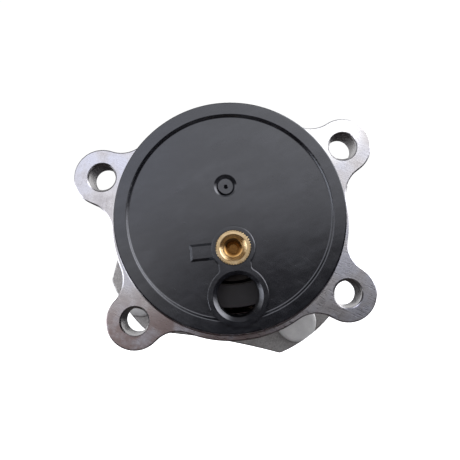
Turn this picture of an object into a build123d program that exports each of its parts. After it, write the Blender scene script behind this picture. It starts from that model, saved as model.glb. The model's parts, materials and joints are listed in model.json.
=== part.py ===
from build123d import *
import math
import os

# Rear wheel hub bearing unit: a flanged outer ring that bolts to the knuckle, a hub that turns in it
# on two rows of balls and carries the wheel, and a moulded cap with a hole for the speed sensor.
#
# Millimetres. The spin axis is Y: the capped, inboard side faces -Y and the wheel side faces +Y.
# Z is up and X completes the frame. The origin is on the spin axis, in the plane of the outer ring's
# mounting face, which the knuckle touches.

os.makedirs("parts", exist_ok=True)

# Outer ring: mounting flange with four tapped lugs, and the pilot that enters the knuckle
flange_thickness = 10.0
flange_body_r = 41.6
lug_circle_r = 47.9
lug_angles = (26.1, 153.9, 219.3, 320.7)  # degrees from +X towards +Z
lug_r = 10.0
lug_blend_r = 10.5
flange_edge_chamfer = 0.45
lug_bolt_r = 5.0  # M10 x 1.25
lug_bolt_mouth_r = 5.3
knuckle_pilot_r = 38.8
pilot_end_y = -8.0
pilot_chamfer = 0.5
flange_back_step = 1.0  # the ring's body leaves the flange's back this far inside the flange's edge
ring_body_r = 38.5
ring_body_start_y = 14.0
ring_tail_r = 37.4
ring_tail_run = 3.0
ring_tail_length = 6.0
ring_end_y = 46.5
ring_edge_chamfer = 0.6
ring_bore_chamfer = 0.4

# Bearing: two rows of balls, back to back, whose contact lines spread towards the axis
ball_d = 11.112
balls_per_row = 13
pitch_r = 27.5
inboard_row_y = 9.5
outboard_row_y = 33.5
contact_angle = 38.0
race_r = 0.52 * ball_d
race_clearance = 0.06
shoulder_bore_r = 30.3
open_bore_r = 33.25
high_shoulder_r = 24.9
low_shoulder_r = 21.75
race_edge_chamfer = 0.5

# Cages: one moulded crown per row, whose closed rim is on the row's outer side
cage_inner_r = 25.3
cage_outer_r = 29.7
cage_open_reach = 3.0
cage_closed_reach = 7.0
pocket_clearance = 0.12

# Hub: a spindle whose nose is rolled over the inner ring, and a four-eared wheel flange
journal_r = 18.5
journal_shoulder_y = 20.5
inner_ring_face_y = -1.0
inner_bore_chamfer = 0.6
nose_y = -3.0
nose_r = 22.0
nose_bevel = 1.0
nose_back_taper = 0.4
nose_hollow_r = 13.0
nose_hollow_y = 6.0
nose_hollow_draft = 2.5
seal_land_r = 28.5
seal_land_y = 41.2
seal_land_bevel = 0.6
wheel_flange_back_y = 50.0
wheel_flange_thickness = 9.0
ear_r = 58.7
ear_half_angle = 13.8
ear_side_sag = 1.5
ear_corner_r = 2.5
ear_edge_chamfer = 0.5
flange_root_r = 36.0
flange_root_y = 47.6
flange_root_bevel = 1.0
flange_web_r = 39.0
relief_mouth_r = 34.0  # a shallow round relief in the wheel face, round the pilots
relief_floor_r = 32.0
relief_depth = 2.0
drum_pilot_r = 28.5
drum_pilot_length = 3.0
drum_pilot_chamfer = 0.5
drum_pilot_foot = 0.6
wheel_pilot_r = 27.0
wheel_pilot_length = 9.0
wheel_pilot_lead_in = 2.0
wheel_pilot_taper = 1.5
bore_mouth_r = 21.0
bore_mouth_chamfer = 0.8
bore_floor_r = 15.0
bore_floor_y = 40.0

# Wheel studs: M12 x 1.5 on a 100 mm circle
stud_count = 4
stud_circle_r = 50.0
first_stud_angle = 28.5  # degrees from +X towards +Z
stud_angles = [first_stud_angle + k * 360 / stud_count for k in range(stud_count)]
stud_r = 6.0
stud_head_r = 8.8
stud_head_height = 3.0
stud_head_chamfer = 0.7
stud_head_trim_r = 57.9  # heads are clipped to this circle round the spin axis
stud_knurl_r = 6.35
stud_neck_reach = 0.3  # the knurled neck ends this far outside the wheel flange
stud_neck_chamfer = 0.4
stud_tip_r = 4.6
stud_tip_length = 4.0
stud_tip_taper = 1.5
stud_tip_chamfer = 0.8
stud_length = 37.0  # from under the head
spotface_r = 9.6
spotface_depth = 0.35

# Sensor cap: a black moulding whose plug is pressed into the outer ring's end
cap_r = 37.5
cap_front_y = -13.5
cap_floor_y = -12.7
cap_step_outer_r = 33.35
cap_step_inner_r = 32.75
cap_step_round = 0.5
cap_edge_round = 0.5
cap_wall = 2.5
cap_seat_r = 35.0
cap_seat_floor_y = -0.5
plug_r = 34.83
plug_inner_r = 32.2
plug_end_y = -1.0
cap_clocking = 1.5  # degrees that the cap's centreline stands off the lugs' plane of symmetry
boss_y = -15.0
sensor_offset = 25.55  # from the spin axis down to the sensor hole
sensor_hole_r = 6.7
sensor_mouth_r = 7.95
sensor_boss_r = 9.72
sensor_tube_end_y = -4.8
insert_offset = 10.33  # from the spin axis down to the threaded insert
insert_boss_r = 7.07
insert_boss_end_y = -7.4
boss_neck_width = 10.5
boss_edge_round = 0.45
boss_neck_round = 1.0
tab_offset = 10.72  # from the spin axis down to the locating tab
tab_reach = 13.95
tab_height = 5.45
tab_y = -14.0
tab_bevel = 0.8

# Moulding gate: a round pocket with sloped walls, and a dimpled pad a little below its middle
gate_x = -0.23
gate_offset = 10.0  # from the spin axis up to the pocket's middle
gate_r = 3.73
gate_depth = 0.8
gate_wall_run = 1.3
gate_pad_r = 2.3
gate_pad_x = -0.1
gate_pad_offset = 9.65
gate_pad_y = -12.6
gate_dimple_r = 0.74

# Threaded insert: knurled brass, closed at its inner end, M6
insert_bolt_r = 3.0
insert_mouth_r = 4.32
insert_tip_r = 5.62
insert_root_r = 5.2
insert_edge_bevel = 0.2
knurl_teeth = 40
insert_groove_width = 1.0
insert_groove_depth = 0.3  # below the knurl's roots
insert_front_y = -15.4
insert_end_y = -8.4
insert_thread_depth = 4.4
insert_bore_depth = 6.4
insert_pilot_r = 1.5

# Cap sleeve and O-ring, which hold and seal the plug in its seat
sleeve_thickness = 0.8
sleeve_start_y = -3.6
sleeve_end_y = -0.5
sleeve_lip_r = 32.6
groove_start_y = -5.95
groove_end_y = -4.05
groove_depth = 1.85
o_ring_section_r = 0.89

# Speed encoder: a magnetised ring on a pressed carrier
encoder_land_r = 23.3
encoder_land_end_y = 3.0
encoder_land_chamfer = 0.3
encoder_outer_r = 30.1
encoder_inner_r = 22.5
encoder_back_y = -1.6
encoder_thickness = 1.0
encoder_edge = 0.2  # chamfer of the encoder, which stands this far past its carrier
carrier_thickness = 0.7
carrier_sleeve_end_y = 2.6

# Outboard seal between the outer ring and the hub
seal_seat_r = 34.0
seal_start_y = 41.4
seal_case_thickness = 0.8
seal_case_setback = 0.6
seal_case_bore_r = 30.9
seal_root_thickness = 0.9
seal_bridge_thickness = 1.3
side_lip_r = 31.8
side_lip_flare = 0.6
side_lip_thickness = 0.8
radial_lip_root_r = 30.1
radial_lip_thickness = 0.8
radial_lip_reach = 1.9
slinger_r = 34.5
slinger_setback = 0.2
slinger_corner = 1.2
slinger_thickness = 0.6
lip_gap = 0.12

press_gap = 0.02  # pieces pressed together are drawn this far apart, so that no two share volume
match_gap = 0.001  # an edge counts as being at a place when it is this close


def turned(*outline):
    """Solid of revolution about the spin axis, from an outline of (radius, y) points."""
    return revolve(make_face(Polyline(*outline, close=True)), axis=Axis.Y)


def bar(radius, start_y, end_y):
    """Round bar on the spin axis."""
    return turned((0, start_y), (radius, start_y), (radius, end_y), (0, end_y))


def plate(outline, start_y, end_y):
    """Flat outline in X and Z, extruded along the spin axis from start_y to end_y."""
    return extrude(Plane.XZ.offset(-start_y) * outline, amount=start_y - end_y)


def polar(radius, angle):
    """Point in the plane across the spin axis, at an angle in degrees from +X towards +Z."""
    return radius * math.cos(math.radians(angle)), radius * math.sin(math.radians(angle))


def rounded(shape, radius, *places):
    """Shape with its circular edges at the given (radius, y) places round the spin axis rounded off."""
    chosen = []
    for edge in shape.edges().filter_by(GeomType.CIRCLE):
        for place_r, place_y in places:
            if abs(edge.radius - place_r) < match_gap and abs(edge.arc_center.Y - place_y) < match_gap:
                chosen.append(edge)
    return fillet(chosen, radius)


def around(angles, radius, shape):
    """Copies of a shape that stands on the spin axis, moved without turning to points on a circle."""
    places = [polar(radius, angle) for angle in angles]
    return [Pos(x, 0, z) * shape for x, z in places]


def on_cap(shape):
    """Shape drawn on the plane X = 0, clocked with the cap."""
    return Rot(0, cap_clocking, 0) * shape


def race(row_y, side, outward):
    """Groove cutter for one ball row. side is +1 where the contact leans towards +Y, and outward is
    +1 for the outer ring's groove and -1 for the hub's."""
    lean = math.radians(contact_angle)
    offset = race_r - ball_d / 2 - race_clearance
    centre_r = pitch_r - outward * offset * math.cos(lean)
    centre_y = row_y - side * offset * math.sin(lean)
    return Pos(0, centre_y, 0) * Rot(90, 0, 0) * Torus(centre_r, race_r)


def flange_outline():
    """Round flange with four lugs, each run into the body by a concave arc on both sides."""
    outline = Circle(flange_body_r)
    for angle in lug_angles:
        outline += Pos(*polar(lug_circle_r, angle)) * Circle(lug_r)
    return fillet(outline.vertices(), lug_blend_r)


def outer_ring():
    """Knuckle flange, pilot and races in one forging, bored right through."""
    flange = plate(flange_outline(), 0, flange_thickness)
    outline_edges = flange.edges().filter_by(Plane.XZ)
    flange = chamfer(outline_edges, flange_edge_chamfer)
    body = turned(
        (0, pilot_end_y),
        (knuckle_pilot_r - pilot_chamfer, pilot_end_y),
        (knuckle_pilot_r, pilot_end_y + pilot_chamfer),
        (knuckle_pilot_r, flange_thickness / 2),
        (flange_body_r - flange_back_step, flange_thickness),
        (ring_body_r, ring_body_start_y),
        (ring_body_r, ring_end_y - ring_tail_length - ring_tail_run),
        (ring_tail_r, ring_end_y - ring_tail_length),
        (ring_tail_r, ring_end_y - ring_edge_chamfer),
        (ring_tail_r - ring_edge_chamfer, ring_end_y),
        (0, ring_end_y),
    )
    bore = turned(
        (0, pilot_end_y),
        (cap_seat_r + ring_bore_chamfer, pilot_end_y),
        (cap_seat_r, pilot_end_y + ring_bore_chamfer),
        (cap_seat_r, cap_seat_floor_y),
        (open_bore_r, cap_seat_floor_y),
        (open_bore_r, inboard_row_y),
        (shoulder_bore_r, inboard_row_y),
        (shoulder_bore_r, outboard_row_y),
        (open_bore_r, outboard_row_y),
        (open_bore_r, seal_start_y),
        (seal_seat_r, seal_start_y),
        (seal_seat_r, ring_end_y - ring_bore_chamfer),
        (seal_seat_r + ring_bore_chamfer, ring_end_y),
        (0, ring_end_y),
    )
    ring = flange + body - bore - race(inboard_row_y, 1, 1) - race(outboard_row_y, -1, 1)
    mouth = lug_bolt_mouth_r - lug_bolt_r
    bolt_hole = turned(
        (0, 0),
        (lug_bolt_mouth_r, 0),
        (lug_bolt_r, mouth),
        (lug_bolt_r, flange_thickness - mouth),
        (lug_bolt_mouth_r, flange_thickness),
        (0, flange_thickness),
    )
    for hole in around(lug_angles, lug_circle_r, bolt_hole):
        ring -= hole
    return ring


def wheel_flange_outline():
    """Four ears with round tips, joined by sides that are slightly hollow."""
    arcs = []
    for ear in range(stud_count):
        centre = first_stud_angle + ear * 360 / stud_count
        start, tip, end = (polar(ear_r, centre + k * ear_half_angle) for k in (-1, 0, 1))
        valley = centre + 180 / stud_count
        chord_r = ear_r * math.cos(math.radians(180 / stud_count - ear_half_angle))
        next_start = polar(ear_r, centre + 360 / stud_count - ear_half_angle)
        arcs.append(ThreePointArc(start, tip, end))
        arcs.append(ThreePointArc(end, polar(chord_r - ear_side_sag, valley), next_start))
    return fillet(make_face(arcs).vertices(), ear_corner_r)


def hub_spindle():
    """Spindle and wheel flange in one forging, with the outboard row's groove cut straight into it."""
    flange_front_y = wheel_flange_back_y + wheel_flange_thickness
    ears = plate(wheel_flange_outline(), wheel_flange_back_y, flange_front_y)
    ears = chamfer(ears.edges().filter_by(Plane.XZ), ear_edge_chamfer)
    relief_floor_y = flange_front_y - relief_depth
    drum_pilot_end_y = flange_front_y + drum_pilot_length
    pilot_end = flange_front_y + wheel_pilot_length
    body = turned(
        (0, nose_hollow_y),
        (nose_hollow_r - nose_hollow_draft, nose_hollow_y),
        (nose_hollow_r, nose_y + nose_bevel),
        (nose_hollow_r + nose_bevel, nose_y),
        (nose_r - nose_bevel, nose_y),
        (nose_r, nose_y + nose_bevel),
        (nose_r - nose_back_taper, inner_ring_face_y),
        (journal_r, inner_ring_face_y),
        (journal_r, journal_shoulder_y),
        (low_shoulder_r - race_edge_chamfer, journal_shoulder_y),
        (low_shoulder_r, journal_shoulder_y + race_edge_chamfer),
        (low_shoulder_r, outboard_row_y),
        (high_shoulder_r, outboard_row_y),
        (high_shoulder_r, seal_land_y - seal_land_bevel),
        (high_shoulder_r + seal_land_bevel, seal_land_y),
        (seal_land_r, seal_land_y),
        (seal_land_r, flange_root_y - flange_root_bevel),
        (seal_land_r + flange_root_bevel, flange_root_y),
        (flange_root_r, flange_root_y),
        (flange_web_r, wheel_flange_back_y),
        (flange_web_r, (flange_front_y + relief_floor_y) / 2),
        ((relief_mouth_r + relief_floor_r) / 2, (flange_front_y + relief_floor_y) / 2),
        (relief_floor_r, relief_floor_y),
        (drum_pilot_r + drum_pilot_foot, relief_floor_y),
        (drum_pilot_r, relief_floor_y + drum_pilot_foot),
        (drum_pilot_r, drum_pilot_end_y - drum_pilot_chamfer),
        (drum_pilot_r - drum_pilot_chamfer, drum_pilot_end_y),
        (wheel_pilot_r, drum_pilot_end_y),
        (wheel_pilot_r, pilot_end - wheel_pilot_lead_in),
        (wheel_pilot_r - wheel_pilot_taper, pilot_end),
        (bore_mouth_r + bore_mouth_chamfer, pilot_end),
        (bore_mouth_r, pilot_end - bore_mouth_chamfer),
        (bore_floor_r, bore_floor_y),
        (0, bore_floor_y),
    )
    centre_relief = turned(
        (0, relief_floor_y),
        (relief_floor_r, relief_floor_y),
        (relief_mouth_r, flange_front_y),
        (0, flange_front_y),
    )
    through = bar(seal_land_r, wheel_flange_back_y, flange_front_y)
    hub = (ears - centre_relief - through) + body - race(outboard_row_y, 1, -1)
    spotface = bar(spotface_r, wheel_flange_back_y, wheel_flange_back_y + spotface_depth)
    stud_hole = bar(stud_knurl_r + press_gap, wheel_flange_back_y, flange_front_y)
    for cut in around(stud_angles, stud_circle_r, spotface + stud_hole):
        hub -= cut
    return hub


def wheel_stud():
    """Press-in stud on the spin axis: flat head, knurled neck, threaded shank and a lead-in tip."""
    seat_y = wheel_flange_back_y + spotface_depth
    head_y = wheel_flange_back_y - stud_head_height
    neck_end_y = wheel_flange_back_y + wheel_flange_thickness + stud_neck_reach
    end_y = seat_y + stud_length
    return turned(
        (0, head_y),
        (stud_head_r - stud_head_chamfer, head_y),
        (stud_head_r, head_y + stud_head_chamfer),
        (stud_head_r, seat_y),
        (stud_knurl_r, seat_y),
        (stud_knurl_r, neck_end_y - stud_neck_chamfer),
        (stud_r, neck_end_y),
        (stud_r, end_y - stud_tip_length - stud_tip_taper),
        (stud_tip_r, end_y - stud_tip_length),
        (stud_tip_r, end_y - stud_tip_chamfer),
        (stud_tip_r - stud_tip_chamfer, end_y),
        (0, end_y),
    )


def wheel_studs():
    """The four studs in their places, their heads clipped where they would stand past the ears."""
    trim = bar(stud_head_trim_r, 0, wheel_flange_back_y + stud_length + stud_head_height)
    return [stud & trim for stud in around(stud_angles, stud_circle_r, wheel_stud())]


def inner_ring():
    """Loose inner race of the inboard row, with a land for the encoder carrier."""
    bore_r = journal_r + press_gap
    ring = turned(
        (bore_r + inner_bore_chamfer, inner_ring_face_y),
        (encoder_land_r - encoder_land_chamfer, inner_ring_face_y),
        (encoder_land_r, inner_ring_face_y + encoder_land_chamfer),
        (encoder_land_r, encoder_land_end_y),
        (high_shoulder_r, encoder_land_end_y),
        (high_shoulder_r, inboard_row_y),
        (low_shoulder_r, inboard_row_y),
        (low_shoulder_r, journal_shoulder_y - race_edge_chamfer),
        (low_shoulder_r - race_edge_chamfer, journal_shoulder_y),
        (bore_r + inner_bore_chamfer, journal_shoulder_y),
        (bore_r, journal_shoulder_y - inner_bore_chamfer),
        (bore_r, inner_ring_face_y + inner_bore_chamfer),
    )
    return ring - race(inboard_row_y, -1, -1)


def ball(row_y, index):
    """One ball of a row, in its place round the axis."""
    return Rot(0, index * 360 / balls_per_row, 0) * Pos(pitch_r, row_y, 0) * Sphere(ball_d / 2)


def cage(row_y, closed_side):
    """Crown cage: a rim on the closed side, and pockets that open towards the other row."""
    start, end = sorted((row_y - closed_side * cage_open_reach, row_y + closed_side * cage_closed_reach))
    crown = turned((cage_inner_r, start), (cage_outer_r, start), (cage_outer_r, end), (cage_inner_r, end))
    drill_length = 3 * (cage_outer_r - cage_inner_r)  # well past both faces of the rim
    drill = Cylinder(ball_d / 2 + pocket_clearance, drill_length)
    pocket = Pos(pitch_r, row_y, 0) * Rot(0, 90, 0) * drill
    for index in range(balls_per_row):
        crown -= Rot(0, index * 360 / balls_per_row, 0) * pocket
    return crown


def boss_outline():
    """Figure-of-eight boss round the insert and the sensor hole, seen along the axis."""
    insert_place = Pos(0, -insert_offset)
    sensor_place = Pos(0, -sensor_offset)
    neck = Pos(0, -(insert_offset + sensor_offset) / 2)
    neck_length = sensor_offset - insert_offset
    outline = insert_place * Circle(insert_boss_r) + sensor_place * Circle(sensor_boss_r)
    outline += neck * Rectangle(boss_neck_width, neck_length)
    return fillet(outline.vertices(), boss_neck_round)


def with_gate(shell):
    """Cap shell with the moulding gate's pocket, and the pad that stands in it."""
    pocket_end_y = cap_floor_y + gate_depth
    pocket = turned(
        (0, cap_floor_y),
        (gate_r, cap_floor_y),
        (gate_r - gate_wall_run, pocket_end_y),
        (0, pocket_end_y),
    )
    pad = turned(
        (0, gate_pad_y + gate_dimple_r),
        (gate_dimple_r, gate_pad_y),
        (gate_pad_r, gate_pad_y),
        (gate_pad_r, pocket_end_y),
        (0, pocket_end_y),
    )
    pocketed = shell - Pos(gate_x, 0, gate_offset) * pocket
    return pocketed + Pos(gate_pad_x, 0, gate_pad_offset) * pad


def sensor_cap():
    """Moulded cap: rimmed disc, plug, boss with the sensor hole and insert, locating tab and gate."""
    shell = turned(
        (0, cap_floor_y),
        (cap_step_inner_r, cap_floor_y),
        (cap_step_outer_r, cap_front_y),
        (cap_r, cap_front_y),
        (cap_r, pilot_end_y),
        (plug_r, pilot_end_y),
        (plug_r, groove_start_y),
        (cap_seat_r - groove_depth, groove_start_y),
        (cap_seat_r - groove_depth, groove_end_y),
        (plug_r, groove_end_y),
        (plug_r, sleeve_start_y),
        (cap_seat_r - sleeve_thickness - 2 * press_gap, sleeve_start_y),
        (cap_seat_r - sleeve_thickness - 2 * press_gap, plug_end_y),
        (plug_inner_r, plug_end_y),
        (plug_inner_r, cap_floor_y + cap_wall),
        (0, cap_floor_y + cap_wall),
    )
    shell = rounded(
        shell,
        cap_step_round,
        (cap_step_inner_r, cap_floor_y),
        (cap_step_outer_r, cap_front_y),
    )
    shell = rounded(shell, cap_edge_round, (cap_r, cap_front_y))
    boss = plate(boss_outline(), boss_y, cap_floor_y + cap_wall)
    boss = fillet(boss.edges().group_by(Axis.Y)[0], boss_edge_round)
    tab = Pos(-tab_reach / 2, -tab_offset) * Rectangle(tab_reach, tab_height)
    tab = plate(tab, tab_y, cap_floor_y + cap_wall / 2)
    tab = chamfer(tab.edges().group_by(Axis.Y)[0], tab_bevel)
    insert_back = Pos(0, 0, -insert_offset) * bar(insert_boss_r, cap_floor_y, insert_boss_end_y)
    sensor_tube = Pos(0, 0, -sensor_offset) * bar(sensor_mouth_r, cap_floor_y, sensor_tube_end_y)
    sensor_tube &= bar(cap_seat_r - groove_depth, cap_floor_y, sensor_tube_end_y)
    body = with_gate(shell)
    body += on_cap(tab)
    body += on_cap(boss)
    body += on_cap(insert_back + sensor_tube)
    lead_in = sensor_mouth_r - sensor_hole_r
    hole = turned(
        (0, boss_y),
        (sensor_mouth_r, boss_y),
        (sensor_hole_r, boss_y + lead_in),
        (sensor_hole_r, sensor_tube_end_y),
        (0, sensor_tube_end_y),
    )
    pocket = bar(insert_tip_r + press_gap, boss_y, insert_end_y)
    body -= on_cap(Pos(0, 0, -sensor_offset) * hole)
    body -= on_cap(Pos(0, 0, -insert_offset) * pocket)
    return body


def threaded_insert():
    """Brass insert: fine straight knurl with a groove round its middle, and a blind bore."""
    points = []
    for step in range(2 * knurl_teeth):
        radius = insert_tip_r if step % 2 else insert_root_r
        points.append(polar(radius, step * 180 / knurl_teeth))
    knurled = plate(make_face(Polyline(*points, close=True)), insert_front_y, insert_end_y)
    groove_start = (boss_y + insert_end_y - insert_groove_width) / 2
    groove_end = groove_start + insert_groove_width
    groove_r = insert_root_r - insert_groove_depth
    turned_blank = turned(
        (0, insert_front_y),
        (insert_tip_r - insert_edge_bevel, insert_front_y),
        (insert_tip_r, insert_front_y + insert_edge_bevel),
        (insert_tip_r, groove_start),
        (groove_r, groove_start),
        (groove_r, groove_end),
        (insert_tip_r, groove_end),
        (insert_tip_r, insert_end_y - insert_edge_bevel),
        (insert_tip_r - insert_edge_bevel, insert_end_y),
        (0, insert_end_y),
    )
    thread_end_y = insert_front_y + insert_thread_depth
    floor_y = insert_front_y + insert_bore_depth
    bore = turned(
        (0, insert_front_y),
        (insert_mouth_r, insert_front_y),
        (insert_bolt_r, insert_front_y + insert_mouth_r - insert_bolt_r),
        (insert_bolt_r, thread_end_y),
        (insert_pilot_r, thread_end_y + (insert_bolt_r - insert_pilot_r) / 2),
        (insert_pilot_r, floor_y),
        (0, floor_y),
    )
    return on_cap(Pos(0, 0, -insert_offset) * ((knurled & turned_blank) - bore))


def cap_sleeve():
    """Steel sleeve on the plug's end, turned in at its lip."""
    outer = cap_seat_r - press_gap
    inner = outer - sleeve_thickness
    return turned(
        (inner, sleeve_start_y + press_gap),
        (outer, sleeve_start_y + press_gap),
        (outer, sleeve_end_y),
        (sleeve_lip_r, sleeve_end_y),
        (sleeve_lip_r, plug_end_y),
        (inner, plug_end_y),
    )


def cap_o_ring():
    """Round-section seal in the plug's groove."""
    middle_y = (groove_start_y + groove_end_y) / 2
    ring_r = cap_seat_r - press_gap - o_ring_section_r
    return Pos(0, middle_y, 0) * Rot(90, 0, 0) * Torus(ring_r, o_ring_section_r)


def encoder_carrier():
    """Pressed steel ring: a sleeve on the inner ring's land and a flat flange for the encoder."""
    sleeve_r = encoder_land_r + press_gap
    flange_end_y = encoder_back_y + carrier_thickness
    return turned(
        (sleeve_r, encoder_back_y),
        (encoder_outer_r - encoder_edge, encoder_back_y),
        (encoder_outer_r - encoder_edge, flange_end_y),
        (sleeve_r + carrier_thickness, flange_end_y),
        (sleeve_r + carrier_thickness, carrier_sleeve_end_y),
        (sleeve_r, carrier_sleeve_end_y),
    )


def encoder_ring():
    """Flat magnetised ring that the speed sensor reads."""
    start_y = encoder_back_y - encoder_thickness
    return turned(
        (encoder_inner_r, start_y),
        (encoder_outer_r - encoder_edge, start_y),
        (encoder_outer_r, start_y + encoder_edge),
        (encoder_outer_r, encoder_back_y),
        (encoder_inner_r, encoder_back_y),
    )


def outboard_seal_case():
    """Pressed steel case of the outboard seal: a sleeve in the ring's end and an inward flange."""
    outer = seal_seat_r - press_gap
    return turned(
        (outer - seal_case_thickness, ring_end_y - seal_case_setback),
        (outer, ring_end_y - seal_case_setback),
        (outer, seal_start_y),
        (seal_case_bore_r, seal_start_y),
        (seal_case_bore_r, seal_start_y + seal_case_thickness),
        (outer - seal_case_thickness, seal_start_y + seal_case_thickness),
    )


def outboard_seal_lip():
    """Rubber of the outboard seal: a root on the case and two lips that lean on the slinger."""
    root_y = seal_start_y + seal_case_thickness
    running_r = seal_land_r + slinger_thickness + lip_gap
    slinger_face_y = flange_root_y - slinger_thickness - lip_gap
    bridge_y = root_y + seal_bridge_thickness
    outer = seal_seat_r - press_gap - seal_case_thickness
    return turned(
        (outer, root_y),
        (outer, root_y + seal_root_thickness),
        (side_lip_r, bridge_y),
        (side_lip_r + side_lip_flare, slinger_face_y),
        (side_lip_r, slinger_face_y),
        (side_lip_r - side_lip_thickness, bridge_y),
        (running_r + radial_lip_thickness, bridge_y),
        (running_r, root_y + radial_lip_reach),
        (running_r, root_y + seal_root_thickness),
        (radial_lip_root_r, root_y),
    )


def seal_slinger():
    """Thin stainless ring on the hub's seal land, turned out against the flange root."""
    inner = seal_land_r + press_gap
    start_y = seal_land_y + slinger_setback
    turn_y = flange_root_y - slinger_thickness
    return turned(
        (inner, start_y),
        (inner + slinger_thickness, start_y),
        (inner + slinger_thickness, turn_y),
        (slinger_r, turn_y),
        (slinger_r, flange_root_y),
        (inner + slinger_corner, flange_root_y),
        (inner, flange_root_y - slinger_corner),
    )


def write(name, shape):
    """One STEP file for one node."""
    shape.label = name
    export_step(shape, f"parts/{name}.step")


write("outer_ring", outer_ring())
write("hub_spindle", hub_spindle())
write("wheel_studs", Compound(children=wheel_studs()))
write("inner_ring", inner_ring())
write("inboard_cage", cage(inboard_row_y, -1))
write("outboard_cage", cage(outboard_row_y, 1))
write("sensor_cap", sensor_cap())
write("threaded_insert", threaded_insert())
write("cap_sleeve", cap_sleeve())
write("cap_o_ring", cap_o_ring())
write("encoder_carrier", encoder_carrier())
write("encoder_ring", encoder_ring())
write("outboard_seal_case", outboard_seal_case())
write("outboard_seal_lip", outboard_seal_lip())
write("seal_slinger", seal_slinger())
for row_name, row_y in (("inboard", inboard_row_y), ("outboard", outboard_row_y)):
    for index in range(balls_per_row):
        write(f"{row_name}_ball_{index + 1:02d}", ball(row_y, index))
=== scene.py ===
"""Wheel hub bearing unit, seen from its capped side: studio, materials, and threads on holes and studs.

Sizes are in millimetres where a name says so or where they are multiplied by MM, and in metres
elsewhere. The spin axis is Y, and the wheel is towards +Y.
"""

import json
import math

import bmesh
import bpy
from mathutils import Matrix, Vector


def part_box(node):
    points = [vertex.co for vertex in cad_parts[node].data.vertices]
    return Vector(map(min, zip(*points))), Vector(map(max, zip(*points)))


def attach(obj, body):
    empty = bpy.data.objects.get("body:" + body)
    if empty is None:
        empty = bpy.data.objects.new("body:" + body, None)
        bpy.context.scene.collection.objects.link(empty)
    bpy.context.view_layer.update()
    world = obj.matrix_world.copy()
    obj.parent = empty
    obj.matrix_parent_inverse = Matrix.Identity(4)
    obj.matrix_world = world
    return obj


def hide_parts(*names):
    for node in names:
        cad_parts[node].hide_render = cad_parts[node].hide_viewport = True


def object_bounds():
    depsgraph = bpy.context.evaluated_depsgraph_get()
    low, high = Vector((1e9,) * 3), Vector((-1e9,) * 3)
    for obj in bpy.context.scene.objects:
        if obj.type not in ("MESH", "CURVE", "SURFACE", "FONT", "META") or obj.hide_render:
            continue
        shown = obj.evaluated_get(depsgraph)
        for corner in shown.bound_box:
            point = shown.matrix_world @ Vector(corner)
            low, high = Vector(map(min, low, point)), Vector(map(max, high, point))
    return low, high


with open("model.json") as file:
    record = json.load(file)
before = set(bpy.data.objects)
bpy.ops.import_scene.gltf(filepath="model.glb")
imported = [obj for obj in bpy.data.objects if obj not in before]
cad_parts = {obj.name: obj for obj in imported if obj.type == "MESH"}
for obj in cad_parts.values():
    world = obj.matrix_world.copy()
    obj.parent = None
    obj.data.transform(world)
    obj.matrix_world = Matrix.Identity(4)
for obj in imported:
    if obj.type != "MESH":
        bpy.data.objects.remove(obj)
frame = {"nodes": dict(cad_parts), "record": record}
cad_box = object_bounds()
mounts = {mount["name"]: mount for mount in frame["record"]["mounts"]}
lug_mounts = [mounts[f"knuckle_bolt_{number}"] for number in range(1, 5)]

MM = 0.001
TURN = 2 * math.pi


# ---------------------------------------------------------------- studio

CAMERA_PLACE = (0.90 * MM, -157.0 * MM, -17.47 * MM)
CAMERA_TILT = 5.13  # degrees up from level, to the right, and of roll
CAMERA_YAW = -0.35
CAMERA_ROLL = 7.40
CAMERA_LENS = 35.33  # focal length and sensor width in millimetres
SENSOR_WIDTH = 36.0
CAMERA_CLIP_START = 0.01
BACKGROUND_STRENGTH = 1.05
FLOOR_DROP = 0.30
FLOOR_SIZE = 30.0
FLOOR_WHITE = 0.9
FLOOR_GLOW = 0.6

# What the object is lit by and reflects: light by height, as (degrees above the horizon, colour)
SKY = (
    (-60, (0.07, 0.06, 0.06)),
    (-10, (0.025, 0.025, 0.034)),
    (-5, (0.03, 0.029, 0.04)),
    (-1, (0.132, 0.126, 0.145)),
    (3, (0.64, 0.62, 0.64)),
    (8, (1.26, 1.25, 1.29)),
    (14, (1.32, 1.32, 1.37)),
    (22, (1.34, 1.34, 1.38)),
    (50, (1.4, 1.4, 1.44)),
    (75, (0.35, 0.35, 0.38)),
)
# How much of that light also comes from behind the object, and where, by the Y of its direction, it fades
REAR_LIGHT = 0.4
REAR_START = 0.1
REAR_FULL = 0.4
# Lamps, screens and dark flags in it, as (degrees to the right of the view, degrees above the horizon,
# degrees from the middle to the edge, degrees from the middle to full strength, colour)
PATCHES = (
    (-23, 1, 19, 6, (1.22, 1.20, 1.21)),
    (-20, 15, 15, 4, (1.36, 1.40, 1.56)),
    (15, 28, 12, 6, (2.4, 2.4, 2.4)),
    (13, -9, 18, 7, (0.012, 0.012, 0.016)),
    (-92, -12, 24, 11, (3.4, 3.5, 3.8)),
    (88, 34, 36, 14, (5.2, 5.2, 5.4)),
    (-95, 48, 32, 18, (0.10, 0.10, 0.11)),
)


def add(tree, kind, inputs=None, **settings):
    """New shader node. An input is a number, a colour or another node's output."""
    node = tree.nodes.new(kind)
    for name, value in settings.items():
        setattr(node, name, value)
    for name, value in (inputs or {}).items():
        if isinstance(value, bpy.types.NodeSocket):
            tree.links.new(value, node.inputs[name])
        else:
            node.inputs[name].default_value = value
    return node


def ranged(tree, value, low, high, low_result=0.0, high_result=1.0, smooth=False):
    """Value carried from one range to another, and held at its ends."""
    inputs = {"Value": value, "From Min": low, "From Max": high}
    inputs.update({"To Min": low_result, "To Max": high_result})
    kind = "SMOOTHSTEP" if smooth else "LINEAR"
    return add(tree, "ShaderNodeMapRange", inputs, interpolation_type=kind).outputs["Result"]


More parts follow.
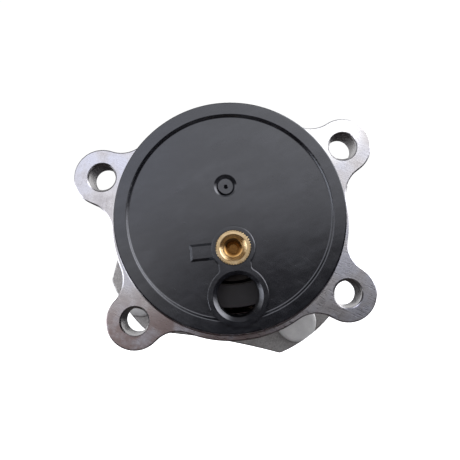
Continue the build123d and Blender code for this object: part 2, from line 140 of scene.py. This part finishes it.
def make_camera():
    """Camera square on to the cap, a little below the spin axis and rolled."""
    data = bpy.data.cameras.new("camera")
    data.lens = CAMERA_LENS
    data.sensor_width = SENSOR_WIDTH
    data.clip_start = CAMERA_CLIP_START
    camera = bpy.data.objects.new("camera", data)
    roll = Matrix.Rotation(math.radians(CAMERA_ROLL), 4, "Y")
    yaw = Matrix.Rotation(math.radians(-CAMERA_YAW), 4, "Z")
    tilt = Matrix.Rotation(math.radians(90 + CAMERA_TILT), 4, "X")
    camera.matrix_world = roll @ Matrix.Translation(CAMERA_PLACE) @ yaw @ tilt
    bpy.context.scene.collection.objects.link(camera)
    bpy.context.scene.camera = camera


def aim_at(right, up):
    """Direction from the object to a place in the room, in degrees right of and above the camera's."""
    across, lift = math.radians(right), math.radians(up)
    level = Vector((math.sin(across) * math.cos(lift), -math.cos(across) * math.cos(lift), math.sin(lift)))
    return Matrix.Rotation(math.radians(CAMERA_ROLL), 3, "Y") @ level


def make_world():
    """White all round to the eye; to the object, the light of SKY and PATCHES."""
    world = bpy.data.worlds.new("studio")
    world.use_nodes = True
    bpy.context.scene.world = world
    tree = world.node_tree
    tree.nodes.clear()
    direction = add(tree, "ShaderNodeTexCoord").outputs["Generated"]
    lean = math.radians(CAMERA_ROLL)
    up = (math.sin(lean), 0, math.cos(lean))
    inputs = {0: direction, 1: up}
    height = add(tree, "ShaderNodeVectorMath", inputs, operation="DOT_PRODUCT").outputs["Value"]
    ramp = add(tree, "ShaderNodeValToRGB", {"Fac": ranged(tree, height, -1, 1)})
    ramp.color_ramp.elements.remove(ramp.color_ramp.elements[1])
    for index, (degrees, colour) in enumerate(SKY):
        place = (math.sin(math.radians(degrees)) + 1) / 2
        stop = ramp.color_ramp.elements[0] if index == 0 else ramp.color_ramp.elements.new(place)
        stop.position = place
        stop.color = (*colour, 1)
    rearward = coordinate(tree, direction, "Y")
    share = ranged(tree, rearward, REAR_START, REAR_FULL, 1.0, REAR_LIGHT)
    inputs = {0: ramp.outputs["Color"], "Scale": share}
    light = add(tree, "ShaderNodeVectorMath", inputs, operation="SCALE").outputs[0]
    for right, up_by, edge, full, colour in PATCHES:
        inputs = {0: direction, 1: aim_at(right, up_by)}
        closeness = add(tree, "ShaderNodeVectorMath", inputs, operation="DOT_PRODUCT").outputs["Value"]
        edge_cosine = math.cos(math.radians(edge))
        full_cosine = math.cos(math.radians(full))
        amount = ranged(tree, closeness, edge_cosine, full_cosine, smooth=True)
        light = blended(tree, amount, light, colour)
    lit = add(tree, "ShaderNodeBackground", {"Color": light})
    plain = add(tree, "ShaderNodeBackground", {"Color": (1, 1, 1, 1), "Strength": BACKGROUND_STRENGTH})
    seen = add(tree, "ShaderNodeLightPath").outputs["Is Camera Ray"]
    mix = add(tree, "ShaderNodeMixShader", {0: seen, 1: lit.outputs[0], 2: plain.outputs[0]})
    add(tree, "ShaderNodeOutputWorld", {"Surface": mix.outputs[0]})


def make_floor():
    """Plain pale floor, well below the unit, which hangs from its knuckle face."""
    mesh = bpy.data.meshes.new("floor")
    half = FLOOR_SIZE / 2
    level = cad_box[0].z - FLOOR_DROP
    corners = [(-half, -half, level), (half, -half, level), (half, half, level), (-half, half, level)]
    mesh.from_pydata(corners, [], [(0, 1, 2, 3)])
    floor = bpy.data.objects.new("floor", mesh)
    floor.visible_glossy = False
    bpy.context.scene.collection.objects.link(floor)
    material = bpy.data.materials.new("floor_white")
    material.use_nodes = True
    shader = material.node_tree.nodes["Principled BSDF"]
    shader.inputs["Base Color"].default_value = (FLOOR_WHITE, FLOOR_WHITE, FLOOR_WHITE, 1)
    shader.inputs["Roughness"].default_value = 0.9
    shader.inputs["Emission Color"].default_value = (1, 1, 1, 1)
    shader.inputs["Emission Strength"].default_value = FLOOR_GLOW
    mesh.materials.append(material)


# ---------------------------------------------------------------- material helpers


def start(name, **constants):
    """New material whose shader has some constant inputs. Returns it with its node tree, its shader and
    the object's own coordinates."""
    material = bpy.data.materials.new(name)
    material.use_nodes = True
    tree = material.node_tree
    shader = tree.nodes["Principled BSDF"]
    for socket, value in constants.items():
        shader.inputs[socket.replace("_", " ")].default_value = value
    point = add(tree, "ShaderNodeTexCoord").outputs["Object"]
    return material, tree, shader, point


def noise(tree, point, size_mm, detail=2.0, rough=0.5, stretch=(1, 1, 1), turn=(0, 0, 0)):
    """Noise from 0 to 1 whose features are about size_mm across, times stretch along each axis."""
    scale = [1 / (size_mm * MM * factor) for factor in stretch]
    turned = add(tree, "ShaderNodeMapping", {"Vector": point, "Rotation": turn}).outputs[0]
    placed = add(tree, "ShaderNodeMapping", {"Vector": turned, "Scale": scale}).outputs[0]
    inputs = {"Vector": placed, "Scale": 1.0, "Detail": detail, "Roughness": rough}
    return add(tree, "ShaderNodeTexNoise", inputs).outputs["Fac"]


def coordinate(tree, point, axis):
    """A point's X, Y or Z."""
    return add(tree, "ShaderNodeSeparateXYZ", {"Vector": point}).outputs[axis]


def off_axis(tree, point, centre):
    """Vector from the axis along Y through centre to a point, square to the axis, and its length."""
    moved = add(tree, "ShaderNodeVectorMath", {0: point, 1: centre}, operation="SUBTRACT").outputs[0]
    flat = add(tree, "ShaderNodeVectorMath", {0: moved, 1: (1, 0, 1)}, operation="MULTIPLY").outputs[0]
    return flat, add(tree, "ShaderNodeVectorMath", {0: flat}, operation="LENGTH").outputs["Value"]


def turning(tree, point, centre, fine_mm, breakup, detail=2.0):
    """Tool marks round an axis along Y: noise that is fine across the marks and long along them."""
    flat, radius = off_axis(tree, point, centre)
    aim = add(tree, "ShaderNodeVectorMath", {0: flat}, operation="NORMALIZE").outputs[0]
    wide = add(tree, "ShaderNodeVectorMath", {0: aim, "Scale": breakup}, operation="SCALE").outputs[0]
    rings = add(tree, "ShaderNodeMath", {0: radius, 1: 1 / (fine_mm * MM)}, operation="MULTIPLY").outputs[0]
    lifted = add(tree, "ShaderNodeCombineXYZ", {"Y": rings}).outputs[0]
    place = add(tree, "ShaderNodeVectorMath", {0: wide, 1: lifted}, operation="ADD").outputs[0]
    inputs = {"Vector": place, "Scale": 1.0, "Detail": detail}
    return add(tree, "ShaderNodeTexNoise", inputs).outputs["Fac"]


def blended(tree, factor, first, second):
    """Colour that runs from first to second. Each is a colour or another node's output."""
    node = add(tree, "ShaderNodeMix", {"Factor": factor}, data_type="RGBA")
    for socket, colour in ((node.inputs[6], first), (node.inputs[7], second)):
        if isinstance(colour, bpy.types.NodeSocket):
            tree.links.new(colour, socket)
        else:
            socket.default_value = (*colour, 1)
    return node.outputs[2]


def raised(tree, height, depth_mm, strength=1.0, below=None):
    """Normal bent by a height of depth_mm, on top of the normal given as below."""
    inputs = {"Height": height, "Distance": depth_mm * MM, "Strength": strength}
    if below is not None:
        inputs["Normal"] = below
    return add(tree, "ShaderNodeBump", inputs).outputs["Normal"]


def feed(tree, shader, **inputs):
    """Links outputs to the shader's sockets."""
    for socket, value in inputs.items():
        tree.links.new(value, shader.inputs[socket.replace("_", " ")])


# ---------------------------------------------------------------- materials

BROWN_TOP_Z = -18 * MM  # the ring is browner in blotches below this
BROWN_FULL_Z = -32 * MM
BROWN_RIGHT_X = 24 * MM  # and to the left of this
BROWN_FULL_X = 0.0
HIGHLIGHT_SPOT = (39 * MM, 0, 27 * MM)  # middle of the painted highlight on one lug
HIGHLIGHT_EDGE = 14 * MM  # distances from it where the brightness starts and is full
HIGHLIGHT_FULL = 7 * MM
LUG_WALL_MARGIN = 0.12 * MM  # painted shade on the threads reaches this far beyond their major radius
LUG_WALL_BLEND = 0.1 * MM
HUB_TURNED_Y = 58.5 * MM  # the wheel flange's turned face is past this
HUB_TURNED_BLEND = 0.2 * MM
NOSE_SHADE_FULL_Y = 4.0 * MM  # painted shade on the spindle's nose is full before this
NOSE_SHADE_START_Y = 8.0 * MM
RACE_SHADE_FULL_Y = 0.0  # and painted shade on the inner race's open face
RACE_SHADE_START_Y = 1.5 * MM
INSERT_SHADE_FULL_R = 2.8 * MM  # inside this the insert is painted brown, as painted shade
INSERT_SHADE_START_R = 3.3 * MM
INSERT_DARKENING_START = 1.4 * MM  # depth from the insert's front where the painted shade starts to darken
INSERT_DARKENING_FULL = 3.8 * MM


def ring_steel():
    """Bright turned and ground steel, mottled lilac: a painted highlight on one lug, browner in blotches low
    down on the left, and painted shade in its tapped holes."""
    material, tree, shader, point = start("ring_steel", Metallic=1.0, Anisotropic=0.35)
    marks = turning(tree, point, (0, 0, 0), 0.55, 9.0, 3.0)
    swirl = noise(tree, point, 0.7, 3, 0.65, (0.6, 1, 5.0), (0, math.radians(58), 0))
    grit = noise(tree, point, 0.55, 2, 0.6)
    blotch = noise(tree, point, 8.0, 4, 0.65)
    patch = noise(tree, point, 16.0, 2)
    # The ring turns browner and darker in blotches low down and to the left.
    low = ranged(tree, coordinate(tree, point, "Z"), BROWN_TOP_Z, BROWN_FULL_Z)
    left = ranged(tree, coordinate(tree, point, "X"), BROWN_RIGHT_X, BROWN_FULL_X)
    run = add(tree, "ShaderNodeMath", {0: low, 1: left}, operation="MULTIPLY").outputs[0]
    brown_blotches = ranged(tree, blotch, 0.25, 0.5)
    brown_low = add(tree, "ShaderNodeMath", {0: run, 1: brown_blotches}, operation="MULTIPLY").outputs[0]
    # Painted highlight: a bright white patch on the upper right lug stands in for a reflection of the light.
    inputs = {0: point, 1: HIGHLIGHT_SPOT}
    from_spot = add(tree, "ShaderNodeVectorMath", inputs, operation="DISTANCE").outputs["Value"]
    painted_highlight = ranged(tree, from_spot, HIGHLIGHT_EDGE, HIGHLIGHT_FULL, smooth=True)
    clean = blended(tree, ranged(tree, patch, 0.38, 0.62), (0.58, 0.585, 0.65), (0.63, 0.61, 0.605))
    dull = blended(tree, ranged(tree, marks, 0.3, 0.7), (0.44, 0.42, 0.425), (0.56, 0.54, 0.55))
    colour = blended(tree, ranged(tree, blotch, 0.45, 0.65), clean, dull)
    colour = blended(tree, brown_low, colour, (0.33, 0.262, 0.255))
    colour = blended(tree, ranged(tree, grit, 0.5, 0.72, 0.0, 0.36), colour, (0.32, 0.30, 0.30))
    colour = blended(tree, painted_highlight, colour, (0.90, 0.90, 0.91))
    # Painted shade: the walls and threads of the tapped holes are painted darker.
    for mount in lug_mounts:
        _, radius = off_axis(tree, point, mount["pos_m"])
        outside = mount["dims"]["r_mm"] * MM + LUG_WALL_MARGIN
        painted_hole_shade = ranged(tree, radius, outside, outside - LUG_WALL_BLEND)
        colour = blended(tree, painted_hole_shade, colour, (0.36, 0.355, 0.35))
    normal = raised(tree, marks, 0.018)
    normal = raised(tree, swirl, 0.030, below=normal)
    normal = raised(tree, grit, 0.010, below=normal)
    tangent = add(tree, "ShaderNodeTangent", direction_type="RADIAL", axis="Y").outputs[0]
    feed(tree, shader, Roughness=ranged(tree, swirl, 0.25, 0.75, 0.22, 0.39))
    feed(tree, shader, Base_Color=colour, Normal=normal, Tangent=tangent)
    return material


def hub_steel():
    """Forged, blasted steel: turned on the wheel side, with painted shade darkening the spindle's nose."""
    material, tree, shader, point = start("hub_steel", Metallic=1.0)
    grit = noise(tree, point, 0.6, 4, 0.6)
    cloud = noise(tree, point, 7.0, 4, 0.6)
    marks = turning(tree, point, (0, 0, 0), 0.35, 5.0)
    along = coordinate(tree, point, "Y")
    turned = ranged(tree, along, HUB_TURNED_Y - HUB_TURNED_BLEND / 2, HUB_TURNED_Y + HUB_TURNED_BLEND / 2)
    # Painted shade: the nose inside the cap is painted near black.
    painted_shade = ranged(tree, along, NOSE_SHADE_START_Y, NOSE_SHADE_FULL_Y)
    forged = blended(tree, ranged(tree, cloud, 0.35, 0.7), (0.41, 0.395, 0.385), (0.56, 0.55, 0.54))
    bright = blended(tree, ranged(tree, marks, 0.3, 0.7), (0.52, 0.51, 0.50), (0.62, 0.61, 0.60))
    forged = blended(tree, ranged(tree, grit, 0.42, 0.68, 0.0, 0.6), forged, (0.24, 0.23, 0.22))
    colour = blended(tree, turned, forged, bright)
    feed(tree, shader, Base_Color=blended(tree, painted_shade, colour, (0.07, 0.063, 0.058)))
    normal = raised(tree, grit, 0.05)
    normal = raised(tree, marks, 0.012, below=normal)
    feed(tree, shader, Roughness=ranged(tree, grit, 0.3, 0.7, 0.36, 0.54), Normal=normal)
    return material


def stud_steel():
    """Cold formed, phosphated steel: an even light grey."""
    material, tree, shader, point = start("stud_steel", Metallic=1.0)
    grain = noise(tree, point, 0.35, 3)
    cloud = noise(tree, point, 4.0, 2)
    colour = blended(tree, ranged(tree, cloud, 0.3, 0.7), (0.69, 0.69, 0.685), (0.79, 0.79, 0.78))
    feed(tree, shader, Base_Color=colour, Roughness=ranged(tree, grain, 0.3, 0.7, 0.52, 0.68))
    feed(tree, shader, Normal=raised(tree, grain, 0.010))
    return material


def race_steel():
    """Ground bearing steel with fine rings round the spin axis, with painted shade darkening its open face.
    """
    material, tree, shader, point = start("race_steel", Metallic=1.0, Anisotropic=0.5)
    marks = turning(tree, point, (0, 0, 0), 0.12, 5.0)
    colour = blended(tree, ranged(tree, marks, 0.3, 0.7), (0.58, 0.58, 0.59), (0.66, 0.66, 0.67))
    # Painted shade: the race's open face inside the cap is painted near black.
    painted_shade = ranged(tree, coordinate(tree, point, "Y"), RACE_SHADE_START_Y, RACE_SHADE_FULL_Y)
    colour = blended(tree, painted_shade, colour, (0.055, 0.05, 0.046))
    feed(tree, shader, Base_Color=colour, Roughness=ranged(tree, marks, 0.3, 0.7, 0.16, 0.26))
    feed(tree, shader, Normal=raised(tree, marks, 0.003))
    return material


def ball_steel():
    """Polished bearing ball under a thin film of grease."""
    material, tree, shader, point = start("ball_steel", Metallic=1.0)
    film = noise(tree, point, 2.0, 3)
    colour = blended(tree, ranged(tree, film, 0.4, 0.75), (0.74, 0.74, 0.75), (0.62, 0.58, 0.50))
    feed(tree, shader, Base_Color=colour, Roughness=ranged(tree, film, 0.4, 0.75, 0.05, 0.22))
    return material


def pressed_steel():
    """Thin pressed sheet with drawing marks."""
    material, tree, shader, point = start("pressed_steel", Metallic=1.0)
    drawn = turning(tree, point, (0, 0, 0), 0.8, 24.0)
    colour = blended(tree, ranged(tree, drawn, 0.3, 0.7), (0.50, 0.50, 0.51), (0.60, 0.60, 0.61))
    feed(tree, shader, Base_Color=colour, Roughness=ranged(tree, drawn, 0.3, 0.7, 0.22, 0.38))
    feed(tree, shader, Normal=raised(tree, drawn, 0.006))
    return material


def brass():
    """Turned brass: rings round the insert's own axis, and painted shade, brown and darkening, down its
    bore.
    """
    material, tree, shader, point = start("brass", Metallic=1.0)
    centre = Vector(mounts["sensor_screw"]["pos_m"])
    rings = turning(tree, point, centre, 0.22, 0.7)
    dull = noise(tree, point, 1.6, 3)
    _, radius = off_axis(tree, point, centre)
    front_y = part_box("threaded_insert")[0].y
    # Painted shade: the bore is painted brown, darker with depth.
    inside = ranged(tree, radius, INSERT_SHADE_START_R, INSERT_SHADE_FULL_R)
    depth = coordinate(tree, point, "Y")
    deep = ranged(tree, depth, front_y + INSERT_DARKENING_START, front_y + INSERT_DARKENING_FULL)
    colour = blended(tree, ranged(tree, dull, 0.35, 0.7), (0.80, 0.61, 0.36), (0.64, 0.455, 0.235))
    colour = blended(tree, ranged(tree, rings, 0.5, 0.7, 0.0, 0.5), colour, (0.55, 0.37, 0.18))
    painted_shade = blended(tree, deep, (0.50, 0.29, 0.10), (0.22, 0.105, 0.03))
    feed(tree, shader, Base_Color=blended(tree, inside, colour, painted_shade))
    feed(tree, shader, Roughness=ranged(tree, rings, 0.3, 0.7, 0.17, 0.30))
    feed(tree, shader, Normal=raised(tree, rings, 0.012))
    return material


def cap_plastic():
    """Black glass filled moulding: satin, finely grained, with flow marks, haze and dull scuffs."""
    material, tree, shader, point = start("cap_plastic", Specular_IOR_Level=1.0)
    shader.inputs["Specular Tint"].default_value = (0.92, 0.94, 1.0, 1)
    grain = noise(tree, point, 0.18, 2)
    flow = noise(tree, point, 14.0, 3, 0.6, (1.6, 1, 0.5), (0, math.radians(12), 0))
    scuff = noise(tree, point, 2.2, 4, 0.7, (2.5, 1, 0.7), (0, math.radians(-35), 0))
    colour = blended(tree, ranged(tree, flow, 0.35, 0.7), (0.0014, 0.0015, 0.0024), (0.0030, 0.0033, 0.0045))
    haze = noise(tree, point, 5.0, 4, 0.65, (2.2, 1, 0.8), (0, math.radians(18), 0))
    colour = blended(tree, ranged(tree, haze, 0.45, 0.75), colour, (0.011, 0.0115, 0.014))
    base = ranged(tree, flow, 0.3, 0.7, 0.17, 0.24)
    worn = ranged(tree, scuff, 0.5, 0.8, 0.0, 0.10)
    rough = add(tree, "ShaderNodeMath", {0: base, 1: worn}, operation="ADD").outputs[0]
    normal = raised(tree, grain, 0.0007)
    normal = raised(tree, flow, 0.03, below=normal)
    feed(tree, shader, Base_Color=colour, Roughness=rough, Normal=normal)
    return material


def cage_plastic():
    """Glass filled cage moulding, dark brown."""
    material, tree, shader, point = start("cage_plastic")
    grain = noise(tree, point, 0.4, 3)
    colour = blended(tree, ranged(tree, grain, 0.3, 0.7), (0.035, 0.030, 0.024), (0.055, 0.047, 0.038))
    feed(tree, shader, Base_Color=colour, Roughness=ranged(tree, grain, 0.3, 0.7, 0.38, 0.55))
    feed(tree, shader, Normal=raised(tree, grain, 0.01))
    return material


def seal_rubber():
    """Black moulded rubber."""
    material, tree, shader, point = start("seal_rubber")
    bloom = noise(tree, point, 1.2, 4)
    colour = blended(tree, ranged(tree, bloom, 0.4, 0.8), (0.010, 0.010, 0.010), (0.022, 0.022, 0.021))
    feed(tree, shader, Base_Color=colour, Roughness=ranged(tree, bloom, 0.3, 0.7, 0.48, 0.68))
    feed(tree, shader, Normal=raised(tree, bloom, 0.015))
    return material


def encoder_rubber():
    """Ferrite filled rubber of the encoder: smooth and brown grey."""
    material, tree, shader, point = start("encoder_rubber", Specular_IOR_Level=0.5)
    mottle = noise(tree, point, 5.0, 3)
    colour = blended(tree, ranged(tree, mottle, 0.35, 0.7), (0.013, 0.010, 0.013), (0.021, 0.017, 0.021))
    feed(tree, shader, Base_Color=colour, Roughness=ranged(tree, mottle, 0.3, 0.7, 0.36, 0.46))
    return material


# ---------------------------------------------------------------- threads and studs

THREAD_STEPS = 64  # round each turn
WALL_OVERLAP = 0.03 * MM  # how far a thread's foot is sunk in the wall that it stands on
THREAD_FOOT = 0.4375  # half widths of a ridge's foot and crest, as shares of the pitch
TAPPED_CREST = 0.125
STUD_CREST = 0.0625
TAPPED_DEPTH = 0.54127  # height of a tapped hole's ridge, as a share of the pitch
LUG_PITCH = 1.25 * MM
LUG_THREAD_START_Y = 0.3 * MM
LUG_THREAD_END_Y = 9.7 * MM
INSERT_PITCH = 1.0 * MM
INSERT_THREAD_START = 1.3 * MM  # depths from the insert's front
INSERT_THREAD_END = 4.4 * MM
TAPPED_SHARP = 35  # degrees between faces at which a mesh's edge is drawn sharp
STUD_SHARP = 32
STUD_SEGMENTS = 128
STUD_ANGLE_1 = 28.5  # degrees from +X towards +Z
STUD_HEAD_R = 8.8 * MM
STUD_HEAD_TRIM_R = 57.9 * MM  # the heads are cut off at this radius from the spin axis
STUD_HEAD_HEIGHT = 3.35 * MM
STUD_KNURL_R = 6.35 * MM
STUD_KNURL_DEPTH = 0.3 * MM
STUD_KNURL_TEETH = 32
STUD_PITCH = 1.5 * MM
STUD_CORE_R = 5.08 * MM
STUD_TIP_R = 4.6 * MM
STUD_TIP_LENGTH = 4.0 * MM
STUD_TIP_BEVEL = 0.8 * MM
STUD_TIP_STEP = 0.4 * MM  # length of the cone from the thread's core to the tip
STUD_THREAD_START = 0.4 * MM  # thread, taper and knurl ends, measured back from the wheel face
STUD_TAPER_START = 0.7 * MM
STUD_KNURL_END = 1.3 * MM
# Rounded rim of the head, as (inset from its radius, depth from its face)
STUD_HEAD_RIM = ((2.2 * MM, 0.0), (0.7 * MM, 0.0), (0.25 * MM, 0.12 * MM), (0.0, 0.6 * MM))


def finish_mesh(name, faces, points, sharp_degrees):
    """Closed mesh object with smooth faces and sharp corners."""
    mesh = bpy.data.meshes.new(name)
    mesh.from_pydata(points, [], faces)
    work = bmesh.new()
    work.from_mesh(mesh)
    bmesh.ops.recalc_face_normals(work, faces=work.faces)
    work.to_mesh(mesh)
    work.free()
    mesh.shade_smooth()
    mesh.set_sharp_from_angle(angle=math.radians(sharp_degrees))
    piece = bpy.data.objects.new(name, mesh)
    bpy.context.scene.collection.objects.link(piece)
    return piece


def thread_ridge(centre, wall_r, crest_r, pitch, start_y, end_y):
    """Points and faces of one right-hand thread ridge on a wall round an axis along Y.

    The crest is inside the wall's radius for a tapped hole and outside it for a stud. The ridge grows
    out of the wall over its first half turn and sinks back over its last."""
    inward = 1 if crest_r < wall_r else -1
    foot = THREAD_FOOT * pitch
    crest = (TAPPED_CREST if inward > 0 else STUD_CREST) * pitch
    foot_r = wall_r + inward * WALL_OVERLAP
    turns = (end_y - start_y - 2 * foot) / pitch
    steps = int(turns * THREAD_STEPS)
    points = []
    faces = []
    for step in range(steps + 1):
        angle = TURN * step / THREAD_STEPS
        y = start_y + foot + pitch * step / THREAD_STEPS
        growth = min(1, (step + 1) * 2 / THREAD_STEPS, (steps - step + 1) * 2 / THREAD_STEPS)
        top_r = foot_r + (crest_r - foot_r) * growth
        for radius, along in ((foot_r, -foot), (top_r, -crest), (top_r, crest), (foot_r, foot)):
            x = centre[0] + radius * math.sin(angle)
            z = centre[1] + radius * math.cos(angle)
            points.append((x, y + along * (growth if radius == foot_r else 1), z))
    for step in range(steps):
        first = 4 * step
        for side in range(4):
            other = (side + 1) % 4
            faces.append((first + side, first + other, first + 4 + other, first + 4 + side))
    last = 4 * steps
    faces.append((0, 1, 2, 3))
    faces.append((last, last + 1, last + 2, last + 3))
    return points, faces


def lathe(centre, outline, shape):
    """Points and faces of a solid turned about an axis along Y, from (radius, y) points that leave out
    the axis. shape(radius, angle) gives a point's radius in a direction."""
    points = [(centre[0], outline[0][1], centre[1])]
    for radius, y in outline:
        for segment in range(STUD_SEGMENTS):
            angle = TURN * segment / STUD_SEGMENTS
            reach = shape(radius, angle)
            points.append((centre[0] + reach * math.cos(angle), y, centre[1] + reach * math.sin(angle)))
    points.append((centre[0], outline[-1][1], centre[1]))
    faces = []
    for row in range(len(outline) - 1):
        near = 1 + row * STUD_SEGMENTS
        far = near + STUD_SEGMENTS
        for segment in range(STUD_SEGMENTS):
            other = (segment + 1) % STUD_SEGMENTS
            faces.append((near + segment, near + other, far + other, far + segment))
    end = len(points) - 1
    rim = end - STUD_SEGMENTS
    for segment in range(STUD_SEGMENTS):
        other = (segment + 1) % STUD_SEGMENTS
        faces.append((0, 1 + other, 1 + segment))
        faces.append((end, rim + segment, rim + other))
    return points, faces


def make_hole_threads(material):
    """M10 x 1.25 thread in each lug of the knuckle flange."""
    depth = TAPPED_DEPTH * LUG_PITCH
    for number, mount in enumerate(lug_mounts, 1):
        x, _, z = mount["pos_m"]
        wall_r = mount["dims"]["r_mm"] * MM
        ends = (LUG_THREAD_START_Y, LUG_THREAD_END_Y)
        points, faces = thread_ridge((x, z), wall_r, wall_r - depth, LUG_PITCH, *ends)
        piece = finish_mesh(f"lug_thread_{number}", faces, points, TAPPED_SHARP)
        piece.data.materials.append(material)
        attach(piece, "housing")


def make_insert_thread(material):
    """M6 thread in the brass insert."""
    mount = mounts["sensor_screw"]
    x, _, z = mount["pos_m"]
    wall_r = mount["dims"]["r_mm"] * MM
    crest_r = wall_r - TAPPED_DEPTH * INSERT_PITCH
    front_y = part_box("threaded_insert")[0].y
    ends = (front_y + INSERT_THREAD_START, front_y + INSERT_THREAD_END)
    points, faces = thread_ridge((x, z), wall_r, crest_r, INSERT_PITCH, *ends)
    piece = finish_mesh("insert_thread", faces, points, TAPPED_SHARP)
    piece.data.materials.append(material)
    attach(piece, "housing")


def make_studs(material):
    """Four press-in studs with clipped heads, knurled necks and rolled M12 x 1.5 threads."""
    low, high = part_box("wheel_studs")
    head_y = low.y
    end_y = high.y
    seat_y = head_y + STUD_HEAD_HEIGHT
    face_y = mounts["wheel_studs"]["pos_m"][1]
    circle_r = mounts["wheel_studs"]["dims"]["pcd_mm"] / 2 * MM
    crest_r = mounts["wheel_studs"]["dims"]["stud_r_mm"] * MM
    thread_start = face_y - STUD_THREAD_START
    thread_end = end_y - STUD_TIP_LENGTH
    outline = [(STUD_HEAD_R - inset, head_y + depth) for inset, depth in STUD_HEAD_RIM]
    outline += [
        (STUD_HEAD_R, seat_y),
        (STUD_KNURL_R, seat_y),
        (STUD_KNURL_R, face_y - STUD_KNURL_END),
        (crest_r, face_y - STUD_TAPER_START),
        (STUD_CORE_R, thread_start),
        (STUD_CORE_R, thread_end),
        (STUD_TIP_R, thread_end + STUD_TIP_STEP),
        (STUD_TIP_R, end_y - STUD_TIP_BEVEL),
        (STUD_TIP_R - STUD_TIP_BEVEL, end_y),
    ]
    for number in range(4):
        around = math.radians(STUD_ANGLE_1 + 90 * number)
        centre = (circle_r * math.cos(around), circle_r * math.sin(around))

        def shape(radius, angle):
            if radius == STUD_KNURL_R:
                return radius - STUD_KNURL_DEPTH * (0.5 - 0.5 * math.cos(STUD_KNURL_TEETH * angle))
            along = centre[0] * math.cos(angle) + centre[1] * math.sin(angle)
            limit = math.sqrt(along**2 + STUD_HEAD_TRIM_R**2 - circle_r**2) - along
            return min(radius, limit)

        points, faces = lathe(centre, outline, shape)
        ridge = thread_ridge(centre, STUD_CORE_R, crest_r, STUD_PITCH, thread_start, thread_end)
        offset = len(points)
        points += ridge[0]
        faces += [tuple(offset + index for index in face) for face in ridge[1]]
        piece = finish_mesh(f"wheel_stud_{number + 1}", faces, points, STUD_SHARP)
        piece.data.materials.append(material)
        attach(piece, "hub")
        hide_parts("wheel_studs")


# ---------------------------------------------------------------- the scene

make_camera()
make_world()
make_floor()
bpy.context.scene.view_settings.view_transform = "Standard"

MATERIALS = {
    "ring_steel": ring_steel(),
    "hub_steel": hub_steel(),
    "stud_steel": stud_steel(),
    "race_steel": race_steel(),
    "ball_steel": ball_steel(),
    "pressed_steel": pressed_steel(),
    "brass": brass(),
    "cap_plastic": cap_plastic(),
    "cage_plastic": cage_plastic(),
    "seal_rubber": seal_rubber(),
    "encoder_rubber": encoder_rubber(),
}
for subpart in frame["record"]["subparts"]:
    piece = frame["nodes"][subpart["node"]]
    piece.data.materials.clear()
    piece.data.materials.append(MATERIALS[subpart["material_slot"]])
make_hole_threads(MATERIALS["ring_steel"])
make_insert_thread(MATERIALS["brass"])
make_studs(MATERIALS["stud_steel"])
